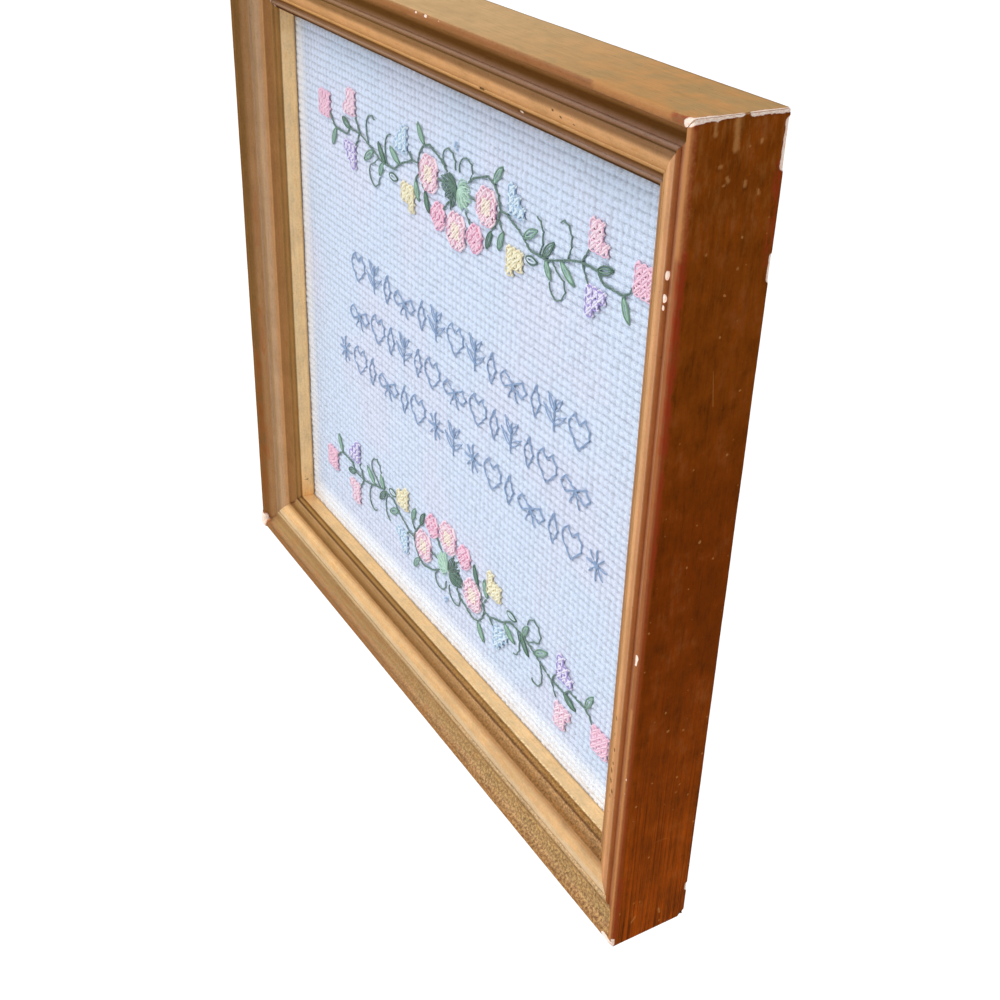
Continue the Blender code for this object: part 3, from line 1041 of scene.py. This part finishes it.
def sewGarland(height, flip, shift=0, drop=0.0, slant=0.0):
    # flip is 1 for the upper garland and -1 for the lower, which is its mirror image
    def at(point, side):
        x = side * point[0] + shift
        return (x, height + flip * point[1] - drop - slant * x)

    def place(name, x, y, side=1):
        rows, colours, outline = garland["charts"][name]
        x, y = at((x, y), side)
        corner = (round(x - len(rows[0]) / 2), round(y - len(rows) / 2))
        chart(rows, corner, colours, outline, flip, side)

    place("rosette", 0, -5)
    for point in garland["knots"]:
        knot("sky_blue", *at(point, -1))
    for side in (-1, 1):
        run("stem_green", "stem", [at(point, side) for point in garland["vine"]])
        for points in garland["stems"]:
            run("stem_green", "stem", [at(point, side) for point in points])
        for points in garland["tendrils"]:
            run("stem_green", "tendril", [at(point, side) for point in points])
        for base, tip, fill in garland["leaves"]:
            edge = "leaf_mid" if fill == "leaf_light" else "leaf_dark"
            leaf(edge, fill, at(base, side), at(tip, side))
        dark = side * flip < 0
        fill, vein = ("leaf_dark", "stem_green") if dark else ("leaf_light", "mint")
        for tip in garland["darkSpray" if dark else "lightSpray"]:
            blade(fill, vein, at((0.3, 0.3), side), at(tip, side))
        for name, x, y in garland["blossoms"]:
            place(name, x, y, side)


# Three rows of small separate motifs between the garlands. For each motif: its width, its
# lines, and the base and tip of its open loops.
motifs = {
    "heart": (4, (((2, -2), (1, -1), (0, 0), (0, 1), (1, 2), (2, 1), (3, 2), (4, 1), (4, 0),
                   (3, -1), (2, -2)),), ()),
    "lozenge": (2, (((1, -2), (0, 0), (1, 2), (2, 0), (1, -2)),), ()),
    "bow": (6, (((3, 0), (1, 1), (0, 0), (1, -1), (3, 0), (5, 1), (6, 0), (5, -1), (3, 0)),
                ((3, 0), (2, -2)), ((3, 0), (4, -2))), ()),
    "sprig": (4, (((2, -2), (2, 2)),),
              (((2, -1), (0, 0.5)), ((2, -1), (4, 0.5)), ((2, 0.5), (0.7, 2.2)),
               ((2, 0.5), (3.3, 2.2)))),
    "star": (4, (((2, -2), (2, 2)), ((0, 0), (4, 0)), ((0.6, -1.4), (3.4, 1.4)),
                 ((0.6, 1.4), (3.4, -1.4))), ()),
}
# Each row as far as its middle motif; the right half mirrors the left
motifRows = {
    7: "heart sprig lozenge bow lozenge sprig heart",
    0: "bow heart lozenge sprig lozenge heart bow",
    -7: "star heart lozenge bow lozenge heart star sprig",
}


def sewMotifRow(height, names):
    names = names.split()
    names += names[-2::-1]
    left = -round((sum(motifs[name][0] for name in names) + len(names) - 1) / 2)
    for name in names:
        width, lines, loops = motifs[name]
        for line in lines:
            run("slate_blue", "line", [(left + x, height + y) for x, y in line])
        for ends in loops:
            loop("slate_blue", *[(left + x, height + y) for x, y in ends])
        left += width + 1


def makeFloss(name, colour):
    constants = {"Roughness": 0.6, "Specular IOR Level": 0.3, "Sheen Weight": 0.25}
    material, flow = newMaterial("stranded_cotton_" + name, constants)
    uv = flow.add("UVMap", {"uv_map": "UVMap"}, {})
    twist = flow.calc("SINE", (uv.part("X") * 2 + uv.part("Y") * 9) * (2 * pi))
    coords = flow.coords()
    uneven = coords.noise(900, 2.0)
    full = srgb(*colour)
    # painted sheen and shade along the twist of each ply
    deep = (*[channel * thread["deep"] for channel in full[:3]], 1.0)
    shine = (0.5 * uneven + 0.30 + 0.2 * twist).blend(deep, full)
    flow.drive({"Base Color": shine, "Normal": twist.bump(0.5, 0.03)})
    return material


def makeStitches():
    made = []
    offset = Vector((designX, clothY, designZ))
    for name, paths in strands.items():
        curve = bpy.data.curves.new(name, "CURVE")
        curve.dimensions = "3D"
        curve.bevel_depth = 1.0
        curve.bevel_resolution = 1
        curve.use_fill_caps = True
        for points, radius in paths:
            spline = curve.splines.new("POLY")
            spline.points.add(len(points) - 1)
            for point, place in zip(spline.points, points):
                point.co = (*(place + offset), 1.0)
                point.radius = radius * mm
        drawn = bpy.data.objects.new(name, curve)
        scene.collection.objects.link(drawn)
        evaluated = drawn.evaluated_get(bpy.context.evaluated_depsgraph_get())
        mesh = bpy.data.meshes.new_from_object(evaluated)
        bpy.data.objects.remove(drawn, do_unlink=True)
        work = bmesh.new()
        work.from_mesh(mesh)
        bmesh.ops.remove_doubles(work, verts=work.verts, dist=0.0002 * mm)
        bmesh.ops.recalc_face_normals(work, faces=work.faces)
        finish = makeFloss(name, floss[name])
        made.append(finishPiece("stitches_" + name, work, finish))
        bpy.data.meshes.remove(mesh)
    return made


sewGarland(garland["rise"], 1)
sewGarland(-garland["rise"], -1, **garland["lower"])
for height, names in motifRows.items():
    sewMotifRow(height, names)
stitches = makeStitches()
print("stitches sewn")


# Back board

board = {"bevel": 0.4 * mm, "segments": 3, "sharp": 30}


def makeBoard():
    low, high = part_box("back_board")
    work = bmesh.new()
    bmesh.ops.create_cube(work, size=1.0)
    place = Matrix.Translation((low + high) / 2) @ Matrix.Diagonal((*(high - low), 1))
    bmesh.ops.transform(work, matrix=place, verts=work.verts)
    bmesh.ops.bevel(work, geom=work.edges[:], offset=board["bevel"], segments=board["segments"],
                    profile=0.5, affect="EDGES", material=-1)
    material, flow = newMaterial("pressed_board", {"Specular IOR Level": 0.25})
    coords = flow.coords()
    fibres = coords.stretch(900, 900, 260).noise(1.0, 5.0, 0.7)
    cloud = coords.noise(45, 3.0)
    colour = (0.6 * fibres + 0.5 * cloud - 0.05).blend(srgb(96, 68, 44), srgb(168, 128, 88))
    roughness = 0.75 + 0.2 * fibres
    bump = fibres.bump(0.6, 0.1)
    flow.drive({"Base Color": colour, "Roughness": roughness, "Normal": bump})
    finishPiece("pressed_back_board", work, material, ["back_board"], board["sharp"])


makeBoard()
print("board fitted")
